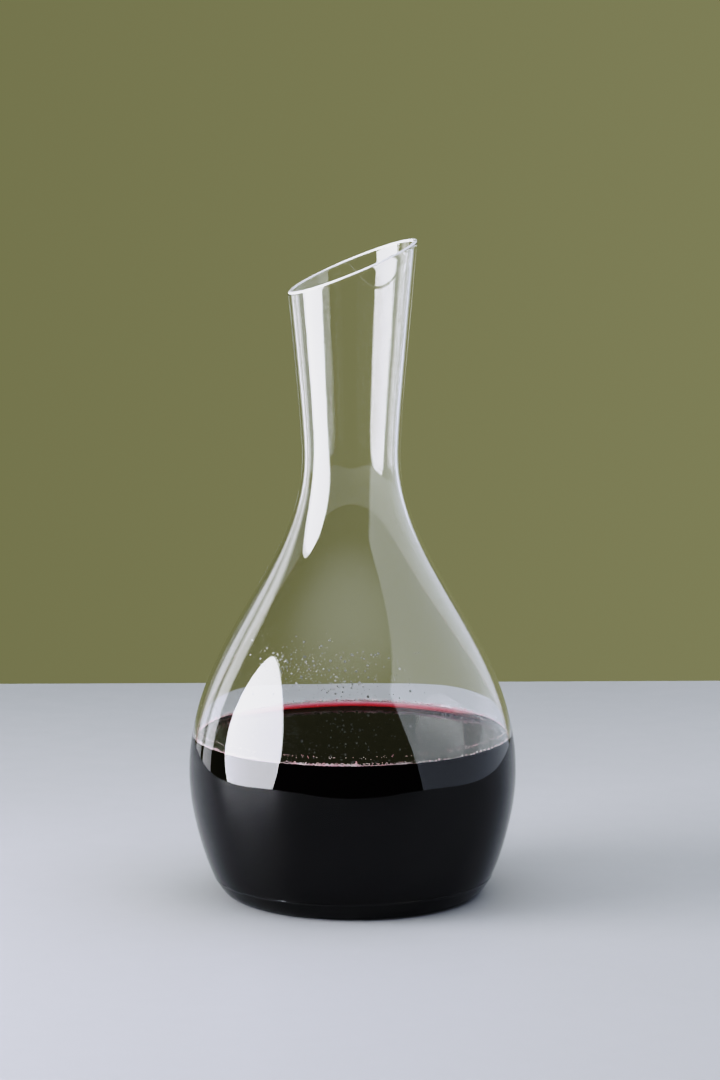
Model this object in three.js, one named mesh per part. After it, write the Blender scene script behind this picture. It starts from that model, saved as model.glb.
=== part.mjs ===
// Wine decanter: a one-piece blown glass vessel with a slant-cut mouth, and the red wine standing in it.
// Millimetres, +Z up. The origin is on the axis, where the standing ring meets the table.
// +X points to the high side of the mouth.

import * as THREE from 'three';

// The glass has two faces, outside and inside. Each is drawn from the base to the mouth through five
// stations, r from the axis and z above the table. The other lengths are how far each station's tangent
// reaches before the line starts to bend, and lean is how far the glass flares for each mm that it rises.
const OUTSIDE = {
  foot: { r: 50, z: 0, reach: 2.5 },
  heel: { r: 63.2, z: 22, lean: 0.29, below: 20, above: 14.5 },
  belly: { r: 68, z: 52, above: 54.5 },
  waist: { r: 20.2, z: 184, below: 46.5 },
  mouth: { r: 27.7, z: 276, lean: 0.08, below: 30 },
};
const FLOOR_THICKNESS = 7;
const WALL = { heel: 2, belly: 1.6, waist: 1.8, mouth: 1.9 };
const INSIDE = {
  foot: { r: 46, z: FLOOR_THICKNESS, reach: 7 },
  heel: { ...OUTSIDE.heel, r: OUTSIDE.heel.r - WALL.heel, below: 10 },
  belly: { ...OUTSIDE.belly, r: OUTSIDE.belly.r - WALL.belly },
  waist: { ...OUTSIDE.waist, r: OUTSIDE.waist.r - WALL.waist },
  mouth: { ...OUTSIDE.mouth, r: OUTSIDE.mouth.r - WALL.mouth },
};

// Underneath: a standing ring round a shallow hollow
const RING_INNER_R = 42;
const HOLLOW_DEPTH = 2;

// Mouth: a slanting plane that crosses the axis at this height, with a rounded, fire-polished lip on it
const MOUTH_HEIGHT = 262.2;
const MOUTH_TILT = THREE.MathUtils.degToRad(22);
const LIP_CROWN = 0.9;

// Wine
const WINE_LEVEL = 67.4;
const WINE_GAP = 0.3;

// Facets
const SEGMENTS = 48;
const HOLLOW_STEPS = 3;
const HEEL_STEPS = 7;
const SIDE_STEPS = 5;
const SHOULDER_STEPS = 14;
const NECK_STEPS = 8;
const LIP_STEPS = 4;
const WINE_SHOULDER_STEPS = 3;

const point = (r, z) => new THREE.Vector2(r, z);

// The control length that gives a curve the same bend where it meets its neighbour, so that the glass has
// no visible join there: drop is its own sideways travel, and the neighbour has its own drop and length.
function matchedLength(drop, neighbourDrop, neighbourLength) {
  return neighbourLength * Math.sqrt(drop / neighbourDrop);
}

// The point this far along the tangent of a station that leans outwards as it rises.
function alongLean({ r, z, lean }, distance) {
  return point(r, z).addScaledVector(point(lean, 1).normalize(), distance);
}

// One face of the glass as four curves: round the heel, up to the belly, in to the waist, out to the mouth.
function faceCurves({ foot, heel, belly, waist, mouth }) {
  const heelOut = alongLean(heel, heel.above);
  const mouthIn = alongLean(mouth, -mouth.below);
  const squeeze = belly.r - waist.r;
  const bellyBelow = matchedLength(belly.r - heelOut.x, squeeze, belly.above);
  const waistAbove = matchedLength(mouthIn.x - waist.r, squeeze, waist.below);
  const heelPoint = point(heel.r, heel.z);
  const bellyPoint = point(belly.r, belly.z);
  const waistPoint = point(waist.r, waist.z);
  return {
    heel: new THREE.CubicBezierCurve(
      point(foot.r, foot.z),
      point(foot.r + foot.reach, foot.z),
      alongLean(heel, -heel.below),
      heelPoint,
    ),
    side: new THREE.CubicBezierCurve(heelPoint, heelOut, point(belly.r, belly.z - bellyBelow), bellyPoint),
    shoulder: new THREE.CubicBezierCurve(
      bellyPoint,
      point(belly.r, belly.z + belly.above),
      point(waist.r, waist.z - waist.below),
      waistPoint,
    ),
    neck: new THREE.CubicBezierCurve(
      waistPoint,
      point(waist.r, waist.z + waistAbove),
      mouthIn,
      point(mouth.r, mouth.z),
    ),
  };
}

// Where a rising curve passes height z.
function pointAtHeight(curve, z) {
  let low = 0;
  let high = 1;
  for (let step = 0; step < 40; step += 1) {
    const middle = (low + high) / 2;
    if (curve.getPoint(middle).y < z) low = middle;
    else high = middle;
  }
  return curve.getPoint(low);
}

// Where a neck curve meets the slanting plane, in the direction angle round the axis.
function mouthPoint(neck, angle) {
  let z = MOUTH_HEIGHT;
  for (let step = 0; step < 20; step += 1) {
    z = MOUTH_HEIGHT + Math.tan(MOUTH_TILT) * pointAtHeight(neck, z).x * Math.cos(angle);
  }
  return pointAtHeight(neck, z);
}

function place({ x, y }, angle) {
  return new THREE.Vector3(x * Math.cos(angle), x * Math.sin(angle), y);
}

const ANGLES = Array.from({ length: SEGMENTS }, (_, i) => (2 * Math.PI * i) / SEGMENTS);
const levelRing = (profilePoint) => ANGLES.map((angle) => place(profilePoint, angle));
const ringsAlong = (curve, steps) => curve.getPoints(steps).slice(1).map(levelRing);

// Rings from the waist to the cut, which turn evenly from level to the slant of the mouth.
function neckRings(neck, waistZ) {
  const rings = [];
  for (let step = 1; step <= NECK_STEPS; step += 1) {
    rings.push(
      ANGLES.map((angle) => {
        const top = mouthPoint(neck, angle).y;
        return place(pointAtHeight(neck, waistZ + ((top - waistZ) * step) / NECK_STEPS), angle);
      }),
    );
  }
  return rings;
}

// Rings over the lip, a half ellipse from the outer edge of the cut to its inner edge.
function lipRings(outerNeck, innerNeck) {
  const rings = [];
  for (let step = 1; step < LIP_STEPS; step += 1) {
    const turn = (Math.PI * step) / LIP_STEPS;
    rings.push(
      ANGLES.map((angle) => {
        const outer = mouthPoint(outerNeck, angle);
        const inner = mouthPoint(innerNeck, angle);
        const middle = outer.clone().add(inner).divideScalar(2);
        const rounded = middle.clone().addScaledVector(outer.sub(middle), Math.cos(turn));
        rounded.y += LIP_CROWN * Math.sin(turn);
        return place(rounded, angle);
      }),
    );
  }
  return rings;
}

// A closed surface through a stack of rings, with a point at each end on the axis.
function closedSurface(firstZ, rings, lastZ) {
  const vertices = [new THREE.Vector3(0, 0, firstZ), ...rings.flat(), new THREE.Vector3(0, 0, lastZ)];
  const last = vertices.length - 1;
  const at = (ring, i) => 1 + ring * SEGMENTS + (i % SEGMENTS);
  const faces = [];
  for (let i = 0; i < SEGMENTS; i += 1) {
    faces.push(0, at(0, i + 1), at(0, i));
    for (let ring = 0; ring + 1 < rings.length; ring += 1) {
      faces.push(at(ring, i), at(ring, i + 1), at(ring + 1, i + 1));
      faces.push(at(ring, i), at(ring + 1, i + 1), at(ring + 1, i));
    }
    faces.push(last, at(rings.length - 1, i), at(rings.length - 1, i + 1));
  }
  const geometry = new THREE.BufferGeometry().setFromPoints(vertices);
  geometry.setIndex(faces);
  geometry.computeVertexNormals();
  return geometry;
}

const outside = faceCurves(OUTSIDE);
const inside = faceCurves(INSIDE);

// Out under the base, up the outside, over the lip, down the inside and back to the axis along the floor.
function vesselGeometry() {
  const hollow = new THREE.CubicBezierCurve(
    point(0, HOLLOW_DEPTH),
    point(RING_INNER_R / 3, HOLLOW_DEPTH),
    point((2 * RING_INNER_R) / 3, 0),
    point(RING_INNER_R, 0),
  );
  const outsideRings = [
    ...ringsAlong(hollow, HOLLOW_STEPS),
    levelRing(point(OUTSIDE.foot.r, 0)),
    ...ringsAlong(outside.heel, HEEL_STEPS),
    ...ringsAlong(outside.side, SIDE_STEPS),
    ...ringsAlong(outside.shoulder, SHOULDER_STEPS),
    ...neckRings(outside.neck, OUTSIDE.waist.z),
  ];
  const insideRings = [
    levelRing(point(INSIDE.foot.r, FLOOR_THICKNESS)),
    ...ringsAlong(inside.heel, HEEL_STEPS),
    ...ringsAlong(inside.side, SIDE_STEPS),
    ...ringsAlong(inside.shoulder, SHOULDER_STEPS),
    ...neckRings(inside.neck, INSIDE.waist.z),
  ];
  const rings = [...outsideRings, ...lipRings(outside.neck, inside.neck), ...insideRings.reverse()];
  return closedSurface(HOLLOW_DEPTH, rings, FLOOR_THICKNESS);
}

// The curve's points and the inward side of each, moved in by the gap that the wine keeps to the glass.
function insetPoints(curve, steps, lastT = 1) {
  const points = [];
  for (let step = 1; step <= steps; step += 1) {
    const t = (lastT * step) / steps;
    const along = curve.getTangent(t);
    points.push(curve.getPoint(t).add(point(-along.y, along.x).multiplyScalar(WINE_GAP)));
  }
  return points;
}

// The share of the shoulder curve that lies below the wine's surface.
function shoulderShareBelow(z) {
  let share = 0;
  while (inside.shoulder.getPoint(share).y < z) share += 0.001;
  return share;
}

function wineGeometry() {
  const bottomZ = FLOOR_THICKNESS + WINE_GAP;
  const wall = [
    point(INSIDE.foot.r, bottomZ),
    ...insetPoints(inside.heel, HEEL_STEPS),
    ...insetPoints(inside.side, SIDE_STEPS),
    ...insetPoints(inside.shoulder, WINE_SHOULDER_STEPS, shoulderShareBelow(WINE_LEVEL)),
  ];
  wall.at(-1).y = WINE_LEVEL;
  return closedSurface(bottomZ, wall.map(levelRing), WINE_LEVEL);
}

const clearGlass = new THREE.MeshStandardMaterial({
  color: 0xe9eef0,
  roughness: 0.02,
  metalness: 0,
  transparent: true,
  opacity: 0.35,
});
const redWine = new THREE.MeshStandardMaterial({ color: 0x2a0509, roughness: 0.05, metalness: 0 });

const vessel = new THREE.Mesh(vesselGeometry(), clearGlass);
vessel.name = 'glass_vessel';
const wine = new THREE.Mesh(wineGeometry(), redWine);
wine.name = 'wine';

const decanter = new THREE.Group();
decanter.add(vessel, wine);

export default decanter;
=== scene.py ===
"""Wine decanter: a blown glass vessel with a slant-cut mouth, part filled with red wine.

Metres, +Z up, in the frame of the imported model: the axis of the vessel is the Z axis, it stands on z = 0,
and +X points to the high side of the mouth. The camera looks along +Y.
"""
import math
import random

import bpy
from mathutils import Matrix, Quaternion, Vector, noise


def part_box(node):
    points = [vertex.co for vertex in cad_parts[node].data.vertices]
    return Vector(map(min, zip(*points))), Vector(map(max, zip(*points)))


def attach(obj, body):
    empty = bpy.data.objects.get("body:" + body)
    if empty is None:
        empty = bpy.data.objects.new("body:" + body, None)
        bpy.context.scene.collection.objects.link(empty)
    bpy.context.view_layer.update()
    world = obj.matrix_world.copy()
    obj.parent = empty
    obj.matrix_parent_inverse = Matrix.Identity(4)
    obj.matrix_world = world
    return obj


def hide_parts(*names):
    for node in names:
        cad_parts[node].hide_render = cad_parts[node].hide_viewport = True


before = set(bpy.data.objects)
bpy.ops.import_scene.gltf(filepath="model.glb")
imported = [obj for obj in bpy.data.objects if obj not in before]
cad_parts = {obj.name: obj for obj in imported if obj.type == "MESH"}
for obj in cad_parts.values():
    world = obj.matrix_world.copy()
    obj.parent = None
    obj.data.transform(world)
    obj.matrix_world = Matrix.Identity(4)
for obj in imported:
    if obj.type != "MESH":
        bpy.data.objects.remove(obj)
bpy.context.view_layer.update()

MM = 0.001
random.seed(7)


# ---------------------------------------------------------------- outline of the glass

# Stations of the outer face, in mm: r from the axis and z above the table. The other lengths are how far each
# tangent reaches, and lean is how far the glass flares for each mm that it rises.
FOOT = dict(r=50, z=0, reach=2.5)
HEEL = dict(r=63.2, z=22, lean=0.29, below=20, above=14.5)
BELLY = dict(r=68, z=52, above=54.5)
WAIST = dict(r=20.2, z=184, below=46.5)
MOUTH = dict(r=27.7, z=276, lean=0.08, below=30)
FLOOR_THICKNESS = 7
WALL = dict(heel=2, belly=1.6, waist=1.8, mouth=1.9)
INNER_FOOT = dict(r=46, z=FLOOR_THICKNESS, reach=7)
INNER_HEEL_BELOW = 10

# The standing ring round a shallow hollow, and the slanting plane of the mouth with its rounded lip
RING_INNER_R = 42
HOLLOW_DEPTH = 2
MOUTH_HEIGHT = 262.2
MOUTH_SLOPE = math.tan(math.radians(22))
LIP_CROWN = 0.9


def bezier(controls, t):
    """The point (r, z) of a cubic curve."""
    a, b, c, d = controls
    weights = ((1 - t) ** 3, 3 * (1 - t) ** 2 * t, 3 * (1 - t) * t * t, t ** 3)
    return tuple(sum(w * p[k] for w, p in zip(weights, (a, b, c, d))) for k in (0, 1))


def along_lean(station, distance):
    """The point this far along the tangent of a station that leans outwards as it rises."""
    length = math.hypot(station["lean"], 1)
    return station["r"] + station["lean"] / length * distance, station["z"] + distance / length


def face_curves(foot, heel, belly, waist, mouth):
    """One face of the glass as four curves with no change of bend between them, from heel to neck."""
    heel_out = along_lean(heel, heel["above"])
    mouth_in = along_lean(mouth, -mouth["below"])
    squeeze = belly["r"] - waist["r"]
    belly_below = belly["above"] * math.sqrt((belly["r"] - heel_out[0]) / squeeze)
    waist_above = waist["below"] * math.sqrt((mouth_in[0] - waist["r"]) / squeeze)
    heel_point = (heel["r"], heel["z"])
    belly_point = (belly["r"], belly["z"])
    waist_point = (waist["r"], waist["z"])
    return dict(
        heel=[(foot["r"], foot["z"]), (foot["r"] + foot["reach"], foot["z"]),
              along_lean(heel, -heel["below"]), heel_point],
        side=[heel_point, heel_out, (belly["r"], belly["z"] - belly_below), belly_point],
        shoulder=[belly_point, (belly["r"], belly["z"] + belly["above"]),
                  (waist["r"], waist["z"] - waist["below"]), waist_point],
        neck=[waist_point, (waist["r"], waist["z"] + waist_above), mouth_in, (mouth["r"], mouth["z"])],
    )


def inner(station, name):
    """The station of the inner face, one wall thickness inside the outer one."""
    return dict(station, r=station["r"] - WALL[name])


OUTSIDE = face_curves(FOOT, HEEL, BELLY, WAIST, MOUTH)
INSIDE = face_curves(INNER_FOOT, dict(inner(HEEL, "heel"), below=INNER_HEEL_BELOW), inner(BELLY, "belly"),
                     inner(WAIST, "waist"), inner(MOUTH, "mouth"))


def point_at_height(controls, z):
    """Where a rising curve passes height z."""
    low, high = 0.0, 1.0
    for _ in range(30):
        middle = (low + high) / 2
        if bezier(controls, middle)[1] < z:
            low = middle
        else:
            high = middle
    return bezier(controls, low)


def inside_radius(z):
    """Radius of the inner face at height z, in mm."""
    for part in ("heel", "side", "shoulder", "neck"):
        if z <= INSIDE[part][-1][1]:
            return point_at_height(INSIDE[part], z)[0]
    return INSIDE["neck"][-1][0]


# ---------------------------------------------------------------- mesh helpers

SEGMENTS = 240
ANGLES = [2 * math.pi * i / SEGMENTS for i in range(SEGMENTS)]


def place(r, z, angle):
    """The point at this radius, height and bearing, from mm to metres."""
    return (r * math.cos(angle) * MM, r * math.sin(angle) * MM, z * MM)


def stacked_rings(first, rings, last):
    """Vertices and faces of a closed surface through a stack of rings, with a point at each end."""
    count = len(rings[0])
    verts = [first] + [v for ring in rings for v in ring] + [last]
    faces = []
    for i in range(count):
        j = (i + 1) % count
        faces.append((0, 1 + j, 1 + i))
        for k in range(len(rings) - 1):
            low, high = 1 + k * count, 1 + (k + 1) * count
            faces.append((low + i, low + j, high + j, high + i))
        top = 1 + (len(rings) - 1) * count
        faces.append((top + i, top + j, len(verts) - 1))
    return verts, faces


def new_object(name, verts, faces, material, smooth=True):
    mesh = bpy.data.meshes.new(name)
    mesh.from_pydata(verts, [], faces)
    mesh.validate()
    mesh.polygons.foreach_set("use_smooth", [smooth] * len(mesh.polygons))
    mesh.update()
    piece = bpy.data.objects.new(name, mesh)
    bpy.context.scene.collection.objects.link(piece)
    mesh.materials.append(material)
    return piece


# ---------------------------------------------------------------- materials

class Material:
    """A Principled material and the nodes that drive it."""

    def __init__(self, name, **values):
        self.material = bpy.data.materials.new(name)
        self.material.use_nodes = True
        self.nodes = self.material.node_tree.nodes
        self.links = self.material.node_tree.links
        self.shader = self.nodes["Principled BSDF"]
        self.output = self.nodes["Material Output"]
        for socket, value in values.items():
            self.shader.inputs[socket.replace("_", " ")].default_value = value

    def add(self, kind, **values):
        node = self.nodes.new(kind)
        for socket, value in values.items():
            node.inputs[socket.replace("_", " ")].default_value = value
        return node

    def noise(self, scale, stretch=(1, 1, 1), detail=3.0):
        """Noise in the object's own metres, about `scale` blobs per metre, stretched along an axis."""
        coords = self.nodes.new("ShaderNodeTexCoord")
        mapping = self.nodes.new("ShaderNodeMapping")
        mapping.inputs["Scale"].default_value = stretch
        texture = self.add("ShaderNodeTexNoise", Scale=scale, Detail=detail)
        self.links.new(coords.outputs["Object"], mapping.inputs["Vector"])
        self.links.new(mapping.outputs["Vector"], texture.inputs["Vector"])
        return texture.outputs["Fac"]

    def ramp(self, source, *stops):
        """Grey or colour steps (position, colour) over a 0 to 1 source."""
        ramp = self.nodes.new("ShaderNodeValToRGB")
        elements = ramp.color_ramp.elements
        while len(elements) < len(stops):
            elements.new(0.5)
        for element, (position, colour) in zip(elements, stops):
            element.position = position
            element.color = (colour, colour, colour, 1) if isinstance(colour, float) else (*colour, 1)
        self.links.new(source, ramp.inputs["Fac"])
        return ramp.outputs["Color"]

    def rise(self, direction, low, high):
        """0 to 1 between two distances along a direction, in the object's own metres."""
        coords = self.nodes.new("ShaderNodeTexCoord")
        along = self.nodes.new("ShaderNodeVectorMath")
        along.operation = "DOT_PRODUCT"
        along.inputs[1].default_value = direction
        step = self.nodes.new("ShaderNodeMapRange")
        step.inputs["From Min"].default_value = low
        step.inputs["From Max"].default_value = high
        self.links.new(coords.outputs["Object"], along.inputs[0])
        self.links.new(along.outputs["Value"], step.inputs["Value"])
        return step.outputs["Result"]

    def mottled(self, share, low, high):
        """A blend of two colours by a share that broad, soft noise pushes about by up to a fifth."""
        drift = self.nodes.new("ShaderNodeMath")
        drift.operation = "MULTIPLY_ADD"
        drift.inputs[1].default_value = 0.2
        self.links.new(self.noise(7, detail=6.0), drift.inputs[0])
        self.links.new(share, drift.inputs[2])
        return self.ramp(drift.outputs["Value"], (0.1, low), (1.0, high))

    def feed(self, source, socket):
        self.links.new(source, self.shader.inputs[socket])

    def bump(self, height, strength, distance):
        """Small relief, up to this many metres high."""
        node = self.add("ShaderNodeBump", Strength=strength, Distance=distance)
        self.links.new(height, node.inputs["Height"])
        self.links.new(node.outputs["Normal"], self.shader.inputs["Normal"])

    def absorb(self, colour, density):
        node = self.add("ShaderNodeVolumeAbsorption", Color=(*colour, 1), Density=density)
        self.links.new(node.outputs["Volume"], self.output.inputs["Volume"])


# The fire-polished lip gathers light down the wall. That light is painted on as a milky, part matt white
# (a painted highlight), which fades into the clear rest between these heights above the plane of the cut, in
# mm.
PAINTED_GLOW_LIP_CLARITY = 0.35
LIP_FADE = (-0.1, 0.2)


def clear_glass():
    glass = Material("clear_glass", Base_Color=(1, 1, 1, 1), IOR=1.5, Transmission_Weight=1.0)
    smudges = glass.ramp(glass.noise(42, detail=5.0), (0.56, 0.0), (0.74, 0.02))
    glass.feed(smudges, "Roughness")
    lip_low, lip_high = ((MOUTH_HEIGHT + fade) * MM for fade in LIP_FADE)
    # The lip's share of matt white is a painted highlight for the light that the clear lip gathers.
    lip = glass.rise((-MOUTH_SLOPE, 0, 1), lip_low, lip_high)
    glass.feed(glass.ramp(lip, (0.0, 1.0), (1.0, PAINTED_GLOW_LIP_CLARITY)), "Transmission Weight")
    glass.absorb((0.86, 0.95, 0.96), 1.6)
    return glass.material


def dark_wine():
    """Wine in bulk. The glass carries the only reflection, so this has none of its own."""
    wine = Material("red_wine_bulk", Roughness=0.6, IOR=1.34, Specular_IOR_Level=0.0)
    tint = wine.ramp(wine.noise(28), (0.3, (0.0007, 0.0001, 0.0003)), (0.75, (0.0014, 0.0001, 0.0004)))
    wine.feed(tint, "Base Color")
    return wine.material


def thin_wine():
    """Wine where light gets through it: a clear liquid that swallows green first, then blue."""
    wine = Material("red_wine_edge", Base_Color=(1, 1, 1, 1), Roughness=0.0, IOR=1.34,
                    Transmission_Weight=1.0)
    wine.absorb((0.86, 0.0, 0.14), 1400)
    return wine.material


def foam():
    """Bubbles and foam that the wine leaves on the glass."""
    froth = Material("wine_foam", Roughness=0.12, IOR=1.34)
    tint = froth.ramp(froth.noise(260), (0.35, (0.80, 0.42, 0.50)), (0.62, (0.98, 0.86, 0.88)))
    froth.feed(tint, "Base Color")
    return froth.material


def water():
    """Fine droplets, part matt white: a painted paleness that stands in for the light they catch and bend."""
    drops = Material("condensation", Base_Color=(1, 1, 1, 1), Roughness=0.05, IOR=1.33,
                     Transmission_Weight=0.6)
    drops.bump(drops.noise(900), strength=0.1, distance=0.0001)
    return drops.material


# ---------------------------------------------------------------- glass vessel

def level_ring(r, z):
    return [place(r, z, angle) for angle in ANGLES]


# Blown glass strays from its outline by this much, in mm: slow swells all over, and fine upright draw lines
# that begin where the shoulder narrows. The pitches are turns of the noise per mm, sideways and upwards.
SWELL = 0.045
SWELL_PITCH = (0.045, 0.016)
DRAW_LINE = 0.02
DRAW_PITCH = (0.24, 0.006)
DRAW_NOISE_START = 40
DRAW_BEGINS_R = BELLY["r"] * 0.6
DRAW_FADE_IN = BELLY["r"] * 0.25


def wave(r, z, angle):
    """How far the inner face strays from its outline here, in mm."""
    x, y = r * math.cos(angle), r * math.sin(angle)
    across, up = SWELL_PITCH
    swell = noise.noise(Vector((x * across, y * across, z * up)))
    across, up = DRAW_PITCH
    line = noise.noise(Vector((x * across, y * across, z * up + DRAW_NOISE_START)))
    share = max(0.0, min(1.0, (DRAW_BEGINS_R - r) / DRAW_FADE_IN))
    return SWELL * swell + DRAW_LINE * share * line


def wavy_ring(points):
    """A ring of the inner face, from one (r, z) for each bearing."""
    return [place(r + wave(r, z, angle), z, angle) for (r, z), angle in zip(points, ANGLES)]


def wavy_rings_along(controls, steps):
    return [wavy_ring([bezier(controls, step / steps)] * SEGMENTS) for step in range(1, steps + 1)]


def rings_along(controls, steps):
    return [level_ring(*bezier(controls, step / steps)) for step in range(1, steps + 1)]


def mouth_point(neck, angle):
    """Where a neck curve meets the slanting plane of the mouth."""
    z = MOUTH_HEIGHT
    for _ in range(12):
        z = MOUTH_HEIGHT + MOUTH_SLOPE * point_at_height(neck, z)[0] * math.cos(angle)
    return point_at_height(neck, z)


HOLLOW_STEPS = 8
BODY_STEPS = dict(heel=28, side=20, shoulder=72)
NECK_STEPS = 44
LIP_STEPS = 12


def neck_rows(neck, mouth):
    """Rows of (r, z) round the neck, which turn evenly from level at the waist to the slant of the mouth."""
    rows = []
    for step in range(1, NECK_STEPS + 1):
        share = step / NECK_STEPS
        rows.append([point_at_height(neck, WAIST["z"] + (z - WAIST["z"]) * share) for _, z in mouth])
    return rows


def lip_rings(outer_mouth, inner_mouth):
    """Rings over the lip, a half ellipse from the outer edge of the cut to its inner edge."""
    rings = []
    for step in range(1, LIP_STEPS):
        turn = math.pi * step / LIP_STEPS
        ring = []
        for (r_out, z_out), (r_in, z_in), angle in zip(outer_mouth, inner_mouth, ANGLES):
            swing = math.cos(turn) / 2
            r = (r_out + r_in) / 2 + (r_out - r_in) * swing
            z = (z_out + z_in) / 2 + (z_out - z_in) * swing + LIP_CROWN * math.sin(turn)
            ring.append(place(r, z, angle))
        rings.append(ring)
    return rings


# The mould leaves a low ring round the foot of the glass, which swells and fades on its way round.
SEAM_Z = 7.8
SEAM_HEIGHT = 0.34
SEAM_WIDTH = 0.4
SEAM_LOWEST = 0.5
SEAM_SWELLS = 3
SEAM_STEPS_PER_WIDTH = 4
SEAM_STEPS = 10
# Rings crowd towards the foot, where the heel bends most.
HEEL_CROWDING = 1.6


def seam_share(angle):
    return (1 + SEAM_LOWEST) / 2 + (1 - SEAM_LOWEST) / 2 * math.sin(SEAM_SWELLS * angle + 1)


def heel_rings():
    """The outside of the heel, with closer rings over the mould seam."""
    heel = OUTSIDE["heel"]
    top_r, top_z = heel[-1]
    steps = BODY_STEPS["heel"]
    heights = [top_z * (step / steps) ** HEEL_CROWDING for step in range(1, steps + 1)]
    heights += [SEAM_Z + SEAM_WIDTH * step / SEAM_STEPS_PER_WIDTH
                for step in range(-SEAM_STEPS, SEAM_STEPS + 1)]
    rings = []
    for z in sorted(set(heights)):
        r = point_at_height(heel, z)[0] if z < top_z else top_r
        seam = SEAM_HEIGHT * math.exp(-((z - SEAM_Z) / SEAM_WIDTH) ** 2)
        rings.append([place(r + seam * seam_share(angle), z, angle) for angle in ANGLES])
    return rings


def vessel():
    """Out under the base, up the outside, over the lip, down the inside and back along the floor."""
    hollow = [(0, HOLLOW_DEPTH), (RING_INNER_R / 3, HOLLOW_DEPTH),
              (RING_INNER_R * 2 / 3, 0), (RING_INNER_R, 0)]
    outer_mouth = [mouth_point(OUTSIDE["neck"], angle) for angle in ANGLES]
    inner_mouth = [mouth_point(INSIDE["neck"], angle) for angle in ANGLES]
    outside = rings_along(hollow, HOLLOW_STEPS) + [level_ring(FOOT["r"], 0)]
    inside = [level_ring(INNER_FOOT["r"], FLOOR_THICKNESS)]
    for part, steps in BODY_STEPS.items():
        outside += heel_rings() if part == "heel" else rings_along(OUTSIDE[part], steps)
        inside += wavy_rings_along(INSIDE[part], steps)
    outside += [[place(r, z, angle) for (r, z), angle in zip(row, ANGLES)]
                for row in neck_rows(OUTSIDE["neck"], outer_mouth)]
    inner_rows = neck_rows(INSIDE["neck"], inner_mouth)
    inside += [wavy_ring(row) for row in inner_rows[:-1]]
    inside.append([place(r, z, angle) for (r, z), angle in zip(inner_rows[-1], ANGLES)])
    rings = outside + lip_rings(outer_mouth, inner_mouth) + inside[::-1]
    verts, faces = stacked_rings((0, 0, HOLLOW_DEPTH * MM), rings, (0, 0, FLOOR_THICKNESS * MM))
    return new_object("vessel", verts, faces, clear_glass())


# ---------------------------------------------------------------- wine

# The wine climbs the glass to its line of contact, above the level that it has further in.
CONTACT_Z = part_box("wine")[1][2] / MM
MENISCUS_RISE = 2.1
MENISCUS_REACH = 1.5
LEVEL_Z = CONTACT_Z - MENISCUS_RISE

# The dark bulk lies this far under the surface, and on the far side it drops away near the glass.
THIN_DEPTH = 0.15
STAND_BACK = 1.7
STAND_BACK_REACH = 4.0

# The surface layer goes this far down into the bulk.
BULK_OVERLAP = 0.3

# The wine reaches this far into the glass, so that no film of air shows between them.
WETTED = 0.12

# Rings this close to an edge keep it sharp under smooth shading.
CRISP = 0.02

# The far side begins at this sine of the bearing, and is complete this much further on.
FAR_SIDE_BEGINS = 0.2
FAR_SIDE_FADE = 0.5


def inner_wall(z, angle):
    """Radius of the wavy inner face of the glass at this height and bearing, in mm."""
    r = inside_radius(z)
    return r + wave(r, z, angle)


def far_side(angle):
    """0 on the near side, 1 on the +Y side, where light from behind comes through the wine's edge."""
    t = max(0.0, min(1.0, (math.sin(angle) - FAR_SIDE_BEGINS) / FAR_SIDE_FADE))
    return t * t * (3 - 2 * t)


def meniscus_height(distance):
    """Height of the surface this far in from the glass, which the wine climbs."""
    return LEVEL_Z + MENISCUS_RISE * math.exp(-max(distance, 0) / MENISCUS_REACH)


def bulk_top(distance, angle):
    """Height of the top of the dark bulk this far in from the glass."""
    near = meniscus_height(distance)
    far = LEVEL_Z - STAND_BACK * math.exp(-((distance / STAND_BACK_REACH) ** 2))
    return near + (far - near) * far_side(angle) - THIN_DEPTH


def wall_rings(low, high, count):
    """Rings just inside the skin of the glass, from one list of heights to another."""
    rings = []
    for step in range(1, count + 1):
        heights = [z0 + (z1 - z0) * step / count for z0, z1 in zip(low, high)]
        rings.append([place(inner_wall(z, angle) + WETTED, z, angle)
                      for z, angle in zip(heights, ANGLES)])
    return rings


def top_rings(height, distances):
    """Rings of an upper surface, each at one distance in from the glass."""
    edge = [inner_wall(CONTACT_Z, angle) for angle in ANGLES]
    return [[place(r - distance, height(distance, angle), angle) for r, angle in zip(edge, ANGLES)]
            for distance in distances]


# Distances in from the glass of the rings on the bulk's top
BULK_STEPS = (0.3, 0.8, 1.6, 2.4, 3.2, 4.2, 5.4, 7.0, 10.0, 30.0)
BULK_RIM = [bulk_top(0, angle) for angle in ANGLES]
RIM_STEPS = 5
# Rings of the wall this close to the floor or to the rim are left out.
SMALLEST_STEP = 0.2


def level(z):
    return [z] * SEGMENTS


def wine_bulk():
    """The dark bulk, up the wall from the floor to its rim and in over its top."""
    bottom = FLOOR_THICKNESS - WETTED
    heights = [INSIDE[part][0][1] + (INSIDE[part][3][1] - INSIDE[part][0][1]) * step / steps
               for part, steps in BODY_STEPS.items() for step in range(1, steps + 1)]
    low = [z for z in heights if FLOOR_THICKNESS + SMALLEST_STEP < z < min(BULK_RIM) - SMALLEST_STEP]
    rings = [level_ring(INNER_FOOT["r"], bottom)]
    rings += [ring for z in low for ring in wall_rings(level(z), level(z), 1)]
    rings += wall_rings(level(low[-1]), BULK_RIM, RIM_STEPS) + top_rings(bulk_top, BULK_STEPS)
    verts, faces = stacked_rings((0, 0, bottom * MM), rings, (0, 0, (LEVEL_Z - THIN_DEPTH) * MM))
    return new_object("wine_fill", verts, faces, dark_wine())


# On the surface the rings start close together at the glass, and each is this many times further in.
FIRST_SURFACE_STEP = 0.04
SURFACE_GROWTH = 1.2


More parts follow.
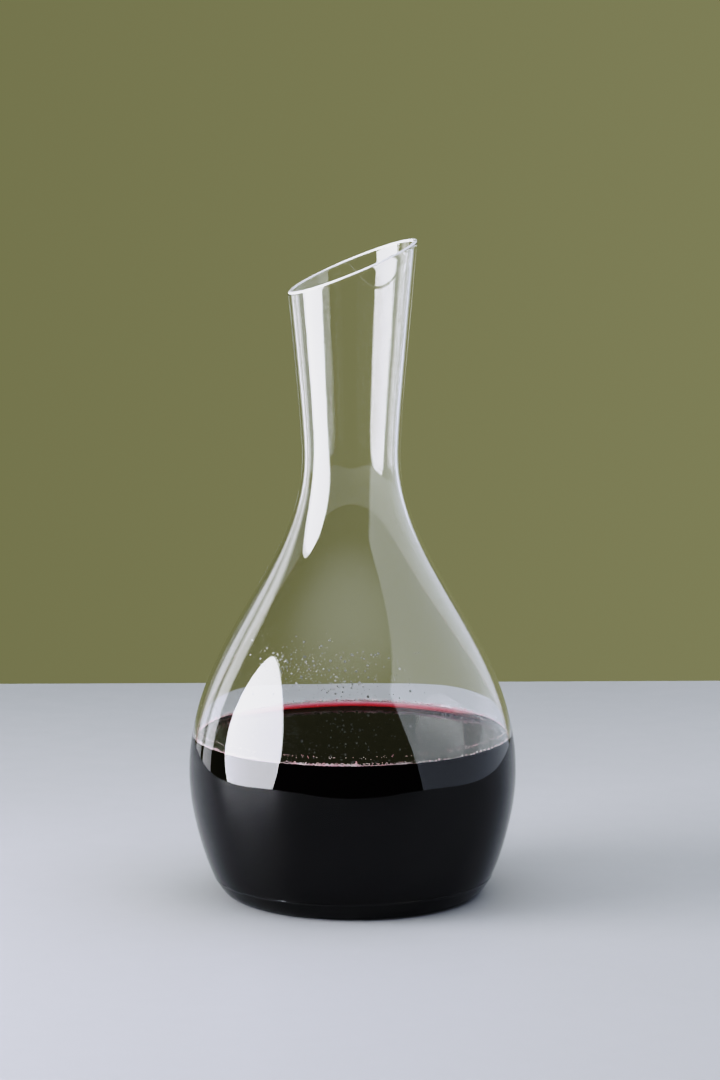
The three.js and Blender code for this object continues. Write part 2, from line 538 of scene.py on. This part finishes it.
def wine_surface():
    """The top layer of the wine, thin enough at its edge for light to come through."""
    contact = level(CONTACT_Z)
    rings = top_rings(lambda distance, angle: bulk_top(distance, angle) - BULK_OVERLAP, BULK_STEPS[::-1])
    rings += wall_rings(BULK_RIM, BULK_RIM, 1)
    rings += wall_rings(BULK_RIM, level(CONTACT_Z - CRISP), RIM_STEPS)
    rings += wall_rings(contact, contact, 1)
    distances = [CRISP - WETTED, 0, FIRST_SURFACE_STEP]
    while distances[-1] * SURFACE_GROWTH < inside_radius(CONTACT_Z):
        distances.append(distances[-1] * SURFACE_GROWTH)
    rings += top_rings(lambda distance, angle: meniscus_height(distance), distances)
    low = (0, 0, (LEVEL_Z - THIN_DEPTH - BULK_OVERLAP) * MM)
    verts, faces = stacked_rings(low, rings, (0, 0, LEVEL_Z * MM))
    return new_object("wine_surface", verts, faces, thin_wine())


# ---------------------------------------------------------------- bubbles and droplets

BALL_SIDES = 8
BALL_ROWS = 5


def ball(centre, radius, squash):
    """A small ball, flattened by `squash` in height."""
    x, y, z = centre
    rings = []
    for row in range(1, BALL_ROWS):
        turn = math.pi * row / BALL_ROWS
        ring_r, height = radius * math.sin(turn), -radius * math.cos(turn) * squash
        rings.append([
            ((x + ring_r * math.cos(2 * math.pi * i / BALL_SIDES)) * MM,
             (y + ring_r * math.sin(2 * math.pi * i / BALL_SIDES)) * MM,
             (z + height) * MM)
            for i in range(BALL_SIDES)
        ])
    low = (x * MM, y * MM, (z - radius * squash) * MM)
    high = (x * MM, y * MM, (z + radius * squash) * MM)
    return stacked_rings(low, rings, high)


def joined(name, shells, material):
    """One piece from many small closed shells."""
    verts, faces = [], []
    for shell_verts, shell_faces in shells:
        start = len(verts)
        verts += shell_verts
        faces += [tuple(start + index for index in face) for face in shell_faces]
    return new_object(name, verts, faces, material)


# How far apart the bubbles of the froth stand, in mm, by bearing in degrees: a line in front, loose beads to
# the right. Each gap is longer or shorter by a factor in GAP_JITTER.
FROTH_GAPS = [(-180, 1.0), (-118, 0.8), (-110, 0.32), (-70, 0.34), (-64, 2.2), (-20, 2.8), (40, 0.6),
              (60, 0.45), (120, 0.45), (180, 1.0)]
GAP_JITTER = (0.7, 1.3)
# Radii of the bubbles, in mm, how far they are flattened, and how many radii their middle is from the glass
FROTH_RADIUS = (0.20, 0.42)
FINE_RADIUS = (0.16, 0.3)
OLD_LEVEL_RADIUS = (0.12, 0.22)
FROTH_SQUASH = 0.85
FINE_SQUASH = 0.9
BUBBLE_STANDS_IN = 0.8
# The froth stands this far above the line of contact, and its larger bubbles ride higher by a share of their
# radius. It gathers in larger bubbles in places; the pitch is turns of the noise round the glass.
FROTH_RISE = (-0.1, 0.3)
RIDE_SHARE = 0.3
CROWD_PITCH = 4.1
CROWD_NOISE_START = 5.0
CROWD_GROWTH = 0.45
# Bubbles of a second row stand above it, fewer where the gaps are wide.
SECOND_ROW_SHARE = 0.6
SECOND_ROW_LOSS = 0.3
SECOND_ROW_RISE = (0.6, 1.1)
# One little peak of froth in front, which thins upwards from its foot to its tip
PEAK_BEARING = -88.6
PEAK_HEIGHT = 1.8
PEAK_BUBBLES = 90
PEAK_THINNING = 1.6
PEAK_FOOT = 1.3
PEAK_TIP = 0.08
# A ring of fine bubbles higher up, which an earlier level left
OLD_LEVEL_RISE = 3.3
OLD_LEVEL_SPREAD = 0.3
OLD_LEVEL_BEARINGS = (-165, -15)
OLD_LEVEL_BUBBLES = 150


def between(table, x):
    """Straight-line value of a table of (x, value) rows."""
    for (x0, low), (x1, high) in zip(table, table[1:]):
        if x <= x1:
            return low + (high - low) * (x - x0) / (x1 - x0)
    return table[-1][1]


def bubble(angle, z, radius, squash):
    """A bubble that clings to the inner face of the glass."""
    r = inner_wall(z, angle) - radius * BUBBLE_STANDS_IN
    return ball((r * math.cos(angle), r * math.sin(angle), z), radius, squash)


def foam_line():
    """A broken line of froth where the surface meets the glass, with a ring of fine bubbles above it."""
    shells = []
    radius_here = inside_radius(CONTACT_Z)
    angle = -math.pi
    while angle < math.pi:
        place_in_noise = (math.cos(angle) * CROWD_PITCH, math.sin(angle) * CROWD_PITCH, CROWD_NOISE_START)
        crowd = noise.noise(Vector(place_in_noise))
        gap = between(FROTH_GAPS, math.degrees(angle))
        radius = random.uniform(*FROTH_RADIUS) + max(crowd, 0) * CROWD_GROWTH
        z = CONTACT_Z + random.uniform(*FROTH_RISE) + radius * RIDE_SHARE
        shells.append(bubble(angle, z, radius, FROTH_SQUASH))
        if random.random() < SECOND_ROW_SHARE - gap * SECOND_ROW_LOSS:
            z = CONTACT_Z + random.uniform(*SECOND_ROW_RISE)
            shells.append(bubble(angle, z, random.uniform(*FINE_RADIUS), FINE_SQUASH))
        angle += gap * random.uniform(*GAP_JITTER) / radius_here
    for _ in range(PEAK_BUBBLES):
        lift = random.random() ** PEAK_THINNING
        sideways = random.gauss(0, PEAK_FOOT * (1 - lift) ** 2 + PEAK_TIP)
        angle = math.radians(PEAK_BEARING) + sideways / radius_here
        z = CONTACT_Z + PEAK_HEIGHT * lift
        shells.append(bubble(angle, z, random.uniform(*FINE_RADIUS), FINE_SQUASH))
    for _ in range(OLD_LEVEL_BUBBLES):
        angle = math.radians(random.uniform(*OLD_LEVEL_BEARINGS))
        z = CONTACT_Z + random.gauss(OLD_LEVEL_RISE, OLD_LEVEL_SPREAD)
        shells.append(bubble(angle, z, random.uniform(*OLD_LEVEL_RADIUS), FINE_SQUASH))
    return joined("foam_line", shells, foam())


DROPLET_SIDES = 12
DROPLET_ROWS = 4
# A droplet's rim lies this far inside the skin of the glass, and its lower half hangs down a little.
DROPLET_SKIN = 0.04
DROPLET_SAG = 0.18


def droplet(angle, z, radius, height):
    """A cap of water on the inner face of the glass."""
    slope = (inside_radius(z + 1) - inside_radius(z - 1)) / 2
    outward = Vector((math.cos(angle), math.sin(angle), -slope)).normalized()
    upward = Vector((slope * math.cos(angle), slope * math.sin(angle), 1)).normalized()
    sideways = outward.cross(upward)
    r = inside_radius(z)
    foot = Vector((r * math.cos(angle), r * math.sin(angle), z)) + outward * DROPLET_SKIN
    rings = []
    for row in range(DROPLET_ROWS):
        lift = row / DROPLET_ROWS
        width = radius * math.sqrt(1 - lift * lift)
        ring = []
        for i in range(DROPLET_SIDES):
            turn = 2 * math.pi * i / DROPLET_SIDES
            sag = 1 + DROPLET_SAG * max(-math.sin(turn), 0)
            point = foot + sideways * (width * math.cos(turn)) + upward * (width * sag * math.sin(turn))
            ring.append(tuple((point - outward * (height * lift)) * MM))
        rings.append(ring)
    return stacked_rings(tuple(foot * MM), rings, tuple((foot - outward * height) * MM))


# Where the droplets gather. Each cloud has the bearing (degrees) and height (mm) of its middle, its spread in
# both, how many droplets it has, and how much larger than the smallest they grow (mm).
DROPLET_CLOUDS = [
    (96, 75, 20, 3.5, 70, 0.5),
    (94, 84, 18, 6, 130, 0.45),
    (112, 89, 14, 6, 70, 0.4),
    (-124, 104, 11, 5.5, 130, 0.35),
    (-94, 101, 16, 4, 60, 0.3),
    (180, 84, 24, 7, 50, 0.35),
]
SMALLEST_DROPLET = 0.15
# A higher power makes the large ones rarer.
DROPLET_RARITY = 3
# Height of a droplet for each mm of its radius
DROPLET_RELIEF = (0.35, 0.55)
LOWEST_DROPLET_RISE = 2.0


def droplets():
    """Clouds of fine droplets inside the shoulder, all of them clear of the wine."""
    shells = []
    for bearing, height, bearing_spread, height_spread, number, growth in DROPLET_CLOUDS:
        for _ in range(number):
            angle = math.radians(random.gauss(bearing, bearing_spread))
            z = max(random.gauss(height, height_spread), CONTACT_Z + LOWEST_DROPLET_RISE)
            radius = SMALLEST_DROPLET + growth * random.random() ** DROPLET_RARITY
            shells.append(droplet(angle, z, radius, radius * random.uniform(*DROPLET_RELIEF)))
    return joined("condensation", shells, water())


def add_piece(piece, slot, *nodes):
    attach(piece, "root")
    if nodes:
        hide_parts(*nodes)


add_piece(vessel(), "clear_glass", "glass_vessel")
add_piece(wine_bulk(), "red_wine", "wine")
add_piece(wine_surface(), "red_wine")
add_piece(foam_line(), "red_wine")
add_piece(droplets(), "clear_glass")


# ---------------------------------------------------------------- table, backdrop, lights, camera

TABLE_HALF_WIDTH = 0.42
TABLE_FRONT = -0.40
TABLE_BACK = 0.44
TABLE_CORNER = 0.2
TABLE_CORNER_STEPS = 24
TABLE_THICKNESS = 0.025
TABLE_EDGE = 0.002


def table_outline(inset):
    """A rectangle with round corners, as (x, y) points."""
    points = []
    corners = [(TABLE_HALF_WIDTH, TABLE_BACK, 0), (-TABLE_HALF_WIDTH, TABLE_BACK, 90),
               (-TABLE_HALF_WIDTH, TABLE_FRONT, 180), (TABLE_HALF_WIDTH, TABLE_FRONT, 270)]
    for x, y, start in corners:
        middle = (x - math.copysign(TABLE_CORNER, x), y - math.copysign(TABLE_CORNER, y))
        for step in range(TABLE_CORNER_STEPS + 1):
            turn = math.radians(start + 90 * step / TABLE_CORNER_STEPS)
            reach = TABLE_CORNER - inset
            points.append((middle[0] + reach * math.cos(turn), middle[1] + reach * math.sin(turn)))
    return points


# The stone is painted darker at the back left than at the front right: a painted shade.
STONE_PAINTED_SHADE = (0.30, 0.307, 0.318)
STONE_NEAR = (0.425, 0.432, 0.445)


def table_top():
    stone = Material("pale_table", Specular_IOR_Level=0.3)
    # The darker back left is painted shade, pushed about by soft random mottling.
    stone.feed(stone.mottled(stone.rise((0.5, -1, 0), -0.5, -0.1), STONE_PAINTED_SHADE, STONE_NEAR), "Base Color")
    stone.feed(stone.ramp(stone.noise(60), (0.3, 0.44), (0.7, 0.50)), "Roughness")
    steps = [(TABLE_EDGE, -TABLE_THICKNESS), (0, -TABLE_THICKNESS + TABLE_EDGE), (0, -TABLE_EDGE),
             (TABLE_EDGE, 0)]
    rings = [[(x, y, z) for x, y in table_outline(inset)] for inset, z in steps]
    verts, faces = stacked_rings((0, 0, -TABLE_THICKNESS), rings, (0, 0, 0))
    return new_object("floor", verts, faces, stone.material, smooth=False)


table_top()


def glow(name, width, radiance, colour, end_share):
    """A diffuser's light: one-sided, dimmer across its width, and not there straight through the glass."""
    material = bpy.data.materials.new(name)
    material.use_nodes = True
    nodes, links = material.node_tree.nodes, material.node_tree.links
    nodes.remove(nodes["Principled BSDF"])

    def maths(operation, first, second):
        node = nodes.new("ShaderNodeMath")
        node.operation = operation
        for socket, source in zip(node.inputs, (first, second)):
            if isinstance(source, float):
                socket.default_value = source
            else:
                links.new(source, socket)
        return node.outputs["Value"]

    split = nodes.new("ShaderNodeSeparateXYZ")
    links.new(nodes.new("ShaderNodeTexCoord").outputs["Object"], split.inputs["Vector"])
    across = nodes.new("ShaderNodeMapRange")
    for socket, value in (("From Min", -width / 2), ("From Max", width / 2), ("To Min", radiance),
                          ("To Max", radiance * end_share)):
        across.inputs[socket].default_value = value
    links.new(split.outputs["X"], across.inputs["Value"])
    ray = nodes.new("ShaderNodeLightPath")
    bounces = maths("ADD", ray.outputs["Glossy Depth"], ray.outputs["Diffuse Depth"])
    straight = maths("MULTIPLY", ray.outputs["Is Transmission Ray"], maths("LESS_THAN", bounces, 0.5))
    hidden = maths("MAXIMUM", straight, nodes.new("ShaderNodeNewGeometry").outputs["Backfacing"])
    emission = nodes.new("ShaderNodeEmission")
    emission.inputs["Color"].default_value = (*colour, 1)
    links.new(across.outputs["Result"], emission.inputs["Strength"])
    mix = nodes.new("ShaderNodeMixShader")
    links.new(hidden, mix.inputs[0])
    links.new(emission.outputs["Emission"], mix.inputs[1])
    links.new(nodes.new("ShaderNodeBsdfTransparent").outputs["BSDF"], mix.inputs[2])
    links.new(mix.outputs["Shader"], nodes["Material Output"].inputs["Surface"])
    return material


LIT_POINT = Vector((0, 0, 0.08))


def panel(name, corners, azimuth, elevation, distance, width, height, radiance, colour, end_share=1.0,
          mirrored=True):
    """A flat diffuser that faces the middle of the body, at this azimuth from the -Y side towards -X.

    Its light falls to end_share of its radiance across its width. Unless it is mirrored, it lights matt
    surfaces and shows in no glass.
    """
    half_turn = math.pi / corners
    reach = 1 / math.cos(half_turn) / 2
    turns = [half_turn * (2 * i + 1) for i in range(corners)]
    verts = [(reach * width * math.cos(turn), -reach * height * math.sin(turn), 0) for turn in turns]
    light = glow(name, width, radiance, colour, end_share)
    diffuser = new_object(name, verts, [tuple(range(corners))], light, smooth=False)
    turn, lift = math.radians(azimuth), math.radians(elevation)
    away = Vector((-math.sin(turn) * math.cos(lift), -math.cos(turn) * math.cos(lift), math.sin(lift)))
    diffuser.location = LIT_POINT + away * distance
    diffuser.rotation_euler = (-away).to_track_quat("-Z", "Y").to_euler()
    diffuser.visible_camera = False
    diffuser.visible_glossy = diffuser.visible_transmission = mirrored


ROUND = 64
SQUARE = 4
COOL_WHITE = (0.93, 0.94, 1.0)
SKY_WHITE = (0.86, 0.92, 1.05)

panel("left_box", ROUND, azimuth=76, elevation=7, distance=0.9, width=0.83, height=0.88,
      radiance=14.5, colour=COOL_WHITE)
panel("rear_strip", SQUARE, azimuth=122, elevation=8, distance=1.0, width=0.23, height=0.62,
      radiance=2.6, colour=COOL_WHITE)
panel("rear_strip_far", SQUARE, azimuth=138, elevation=8, distance=1.0, width=0.20, height=0.62,
      radiance=1.5, colour=COOL_WHITE)
panel("right_panel", SQUARE, azimuth=-98, elevation=22, distance=1.2, width=3.2, height=1.7,
      radiance=1.85, colour=SKY_WHITE, end_share=0.55)
panel("overhead_fill", SQUARE, azimuth=-60, elevation=70, distance=1.6, width=1.6, height=1.6,
      radiance=2.2, colour=COOL_WHITE, mirrored=False)


BACKDROP_LEFT = (0.188, 0.188, 0.113)
BACKDROP_RIGHT = (0.225, 0.225, 0.137)
BACKDROP_HIGH = (0.13, 0.13, 0.075)
DARK_ROOM = (0.05, 0.05, 0.055)
CEILING = (1.15, 1.22, 1.32)
# Where one tone fades into the next, as the X, Y or Z part of the direction that is looked in
BACKDROP_SPREAD = (-0.14, 0.14)
BACKDROP_RISE = (0.0, 0.12)
ROOM_TO_BACKDROP = (-0.3, 0.1)
CEILING_RISE = (math.sin(math.radians(32)), math.sin(math.radians(60)))


def studio_world():
    """A plain backdrop, a dark room in front of it that only reflections see, and a pale ceiling."""
    world = bpy.data.worlds.new("studio")
    world.use_nodes = True
    nodes, links = world.node_tree.nodes, world.node_tree.links
    coords = nodes.new("ShaderNodeTexCoord")
    split = nodes.new("ShaderNodeSeparateXYZ")
    links.new(coords.outputs["Generated"], split.inputs["Vector"])

    def fade(axis, low, high):
        """0 to 1 as one part of the direction goes from low to high."""
        step = nodes.new("ShaderNodeMapRange")
        step.interpolation_type = "SMOOTHSTEP"
        step.inputs["From Min"].default_value = low
        step.inputs["From Max"].default_value = high
        links.new(split.outputs[axis], step.inputs["Value"])
        return step.outputs["Result"]

    def larger(first, second):
        node = nodes.new("ShaderNodeMath")
        node.operation = "MAXIMUM"
        links.new(first, node.inputs[0])
        links.new(second, node.inputs[1])
        return node.outputs["Value"]

    def blend(factor, low, high):
        """A mix of two colours, or of the colours that nodes give."""
        node = nodes.new("ShaderNodeMix")
        node.data_type = "RGBA"
        links.new(factor, node.inputs["Factor"])
        for socket, colour in (("A", low), ("B", high)):
            if isinstance(colour, tuple):
                node.inputs[socket].default_value = (*colour, 1)
            else:
                links.new(colour, node.inputs[socket])
        return node.outputs["Result"]

    ray = nodes.new("ShaderNodeLightPath")
    direct = larger(ray.outputs["Is Camera Ray"], ray.outputs["Is Transmission Ray"])
    low_wall = blend(fade("X", *BACKDROP_SPREAD), BACKDROP_LEFT, BACKDROP_RIGHT)
    backdrop = blend(fade("Z", *BACKDROP_RISE), low_wall, BACKDROP_HIGH)
    round_about = blend(larger(direct, fade("Y", *ROOM_TO_BACKDROP)), DARK_ROOM, backdrop)
    everything = blend(fade("Z", *CEILING_RISE), round_about, CEILING)
    links.new(everything, nodes["Background"].inputs["Color"])
    bpy.context.scene.world = world


studio_world()


CAMERA_PLACE = (0.0035, -2.369, 0.5696)
CAMERA_PITCH = 10.07
CAMERA_ROLL = -0.25
CAMERA_LENS = 194


def camera():
    """A long lens in front, above the mouth, which looks down a little."""
    data = bpy.data.cameras.new("camera")
    data.sensor_width = 36
    data.lens = CAMERA_LENS
    data.clip_end = 50
    view = bpy.data.objects.new("camera", data)
    view.location = CAMERA_PLACE
    view.rotation_mode = "QUATERNION"
    downward, roll = math.radians(90 - CAMERA_PITCH), math.radians(CAMERA_ROLL)
    view.rotation_quaternion = Quaternion((1, 0, 0), downward) @ Quaternion((0, 0, 1), roll)
    bpy.context.scene.collection.objects.link(view)
    bpy.context.scene.camera = view


camera()

# Light in, light out: a short toe that keeps the blacks deep, and a shoulder that holds the highlights back.
TONE_CURVE = [(0.0, 0.0), (0.03, 0.007), (0.065, 0.023), (0.105, 0.06), (0.15, 0.115), (0.2, 0.178),
              (0.3, 0.3), (0.6, 0.58), (1.0, 0.80), (2.0, 0.88)]
# The brightest highlights stay a little cool.
RED_CURVE = [(0.0, 0.0), (0.5, 0.5), (0.88, 0.83), (1.0, 0.93)]
GREEN_CURVE = [(0.0, 0.0), (0.5, 0.5), (0.88, 0.82), (1.0, 0.92)]
BLUE_CURVE = [(0.0, 0.0), (1.0, 1.0)]


def film():
    """The tone curves, and enough bounces for light to get through both walls of the glass and back."""
    scene = bpy.context.scene
    look = scene.view_settings
    look.view_transform = "Standard"
    look.use_curve_mapping = True
    mapping = look.curve_mapping
    mapping.clip_max_x = TONE_CURVE[-1][0]
    for curve, table in zip(mapping.curves, (RED_CURVE, GREEN_CURVE, BLUE_CURVE, TONE_CURVE)):
        while len(curve.points) < len(table):
            curve.points.new(0.5, 0.5)
        for spot, (light_in, light_out) in zip(curve.points, table):
            spot.location = (light_in, light_out)
            spot.handle_type = "AUTO_CLAMPED"
    mapping.update()
    scene.cycles.max_bounces = 64
    scene.cycles.transmission_bounces = 64
    scene.cycles.glossy_bounces = 24
    scene.cycles.sample_clamp_indirect = 10


film()
